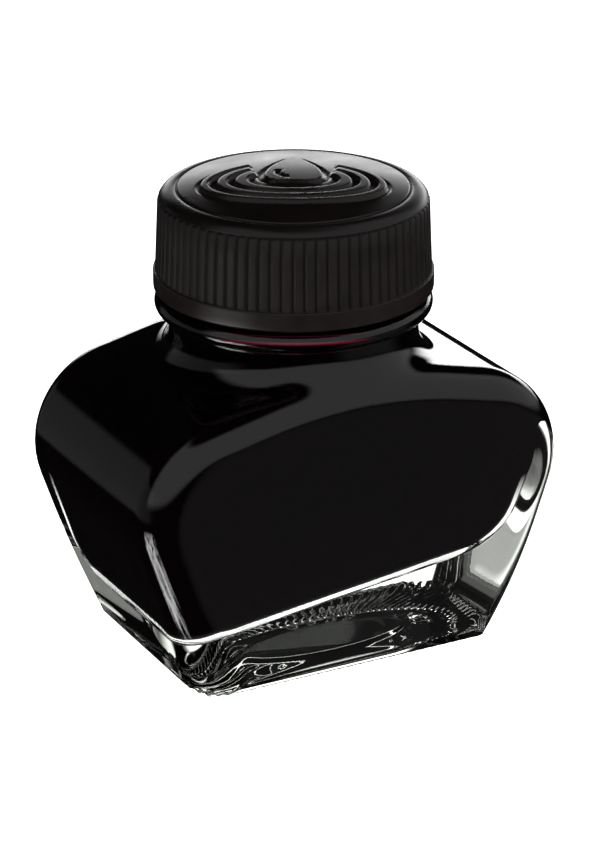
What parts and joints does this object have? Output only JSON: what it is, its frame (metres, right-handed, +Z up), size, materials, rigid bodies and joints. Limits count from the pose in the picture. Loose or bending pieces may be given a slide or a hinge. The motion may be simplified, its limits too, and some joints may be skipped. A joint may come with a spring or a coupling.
{
  "type": "ink bottle",
  "caption": "Squat thick-walled glass ink bottle with slanting sides, flat front and back, and a ribbed screw cap.",
  "frame": {"origin": "middle of the bottle's footprint, on the surface that it stands on", "axes": "+Z up along the neck and cap axis, X across the wide front face, -Y out of the front face"},
  "size_m": [0.0566, 0.036, 0.0593],
  "materials": {
    "clear_glass": "clear pressed soda-lime glass, polished",
    "dark_ink": "liquid ink, nearly black with a dark red edge",
    "black_cap_plastic": "moulded polypropylene, satin",
    "liner_foam": "closed-cell foam with a smooth skin"
  },
  "bodies": {
    "bottle": {"glass_bottle": "clear_glass", "ink": "dark_ink"},
    "liner": {"sealing_liner": "liner_foam"},
    "cap": {"screw_cap": "black_cap_plastic"}
  },
  "joints": [
    {"name": "cap_lift", "type": "slide", "parent": "bottle", "child": "liner", "axis": [0, 0, 1], "range_m": [0, 0.0168]},
    {"name": "cap_turn", "type": "hinge", "parent": "liner", "child": "cap", "pos_m": [0, 0, 0.05], "axis": [0, 0, 1], "range_deg": [0, 1440]}
  ],
  "couplings": [
    {"joint": "cap_lift", "follows": "cap_turn", "m_per_rad": 0.00066845}
  ]
}
